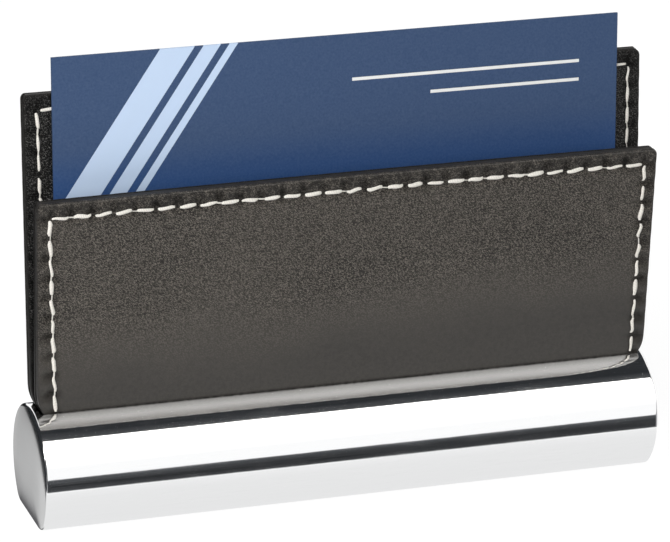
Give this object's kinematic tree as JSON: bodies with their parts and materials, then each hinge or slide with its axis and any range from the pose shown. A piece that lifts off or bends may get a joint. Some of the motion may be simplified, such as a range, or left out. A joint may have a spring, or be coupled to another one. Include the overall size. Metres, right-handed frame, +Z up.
{
  "type": "business card stand",
  "caption": "Desk stand that holds business cards upright in a V of contrast-stitched leather panels set along a polished round metal bar with a flat underside.",
  "frame": {"origin": "on the desk, under the middle of the bar", "axes": "+X along the bar to the right as seen from the front, +Y towards the taller rear panel, +Z up"},
  "size_m": [0.099, 0.02, 0.0714],
  "materials": {
    "chrome": "mirror polished plating",
    "pad": "matt foam rubber",
    "rest": "matt",
    "outer_leather": "fine grain, satin",
    "lining_leather": "fine grain, matt",
    "board": "painted edge",
    "thread": "twisted thread",
    "card": "coated card"
  },
  "bodies": {
    "stand": {"base_bar": "chrome", "foot_pad": "pad", "card_rest": "rest", "front_lining": "lining_leather", "front_board": "board", "front_outer_leather": "outer_leather", "front_stitching": "thread", "rear_lining": "lining_leather", "rear_board": "board", "rear_outer_leather": "outer_leather", "rear_stitching": "thread"},
    "card": {"card": "card"}
  },
  "joints": [
    {"name": "card_lift", "type": "slide", "parent": "stand", "child": "card", "axis": [0, 0.075, 0.9972], "range_m": [0, 0.052]}
  ]
}
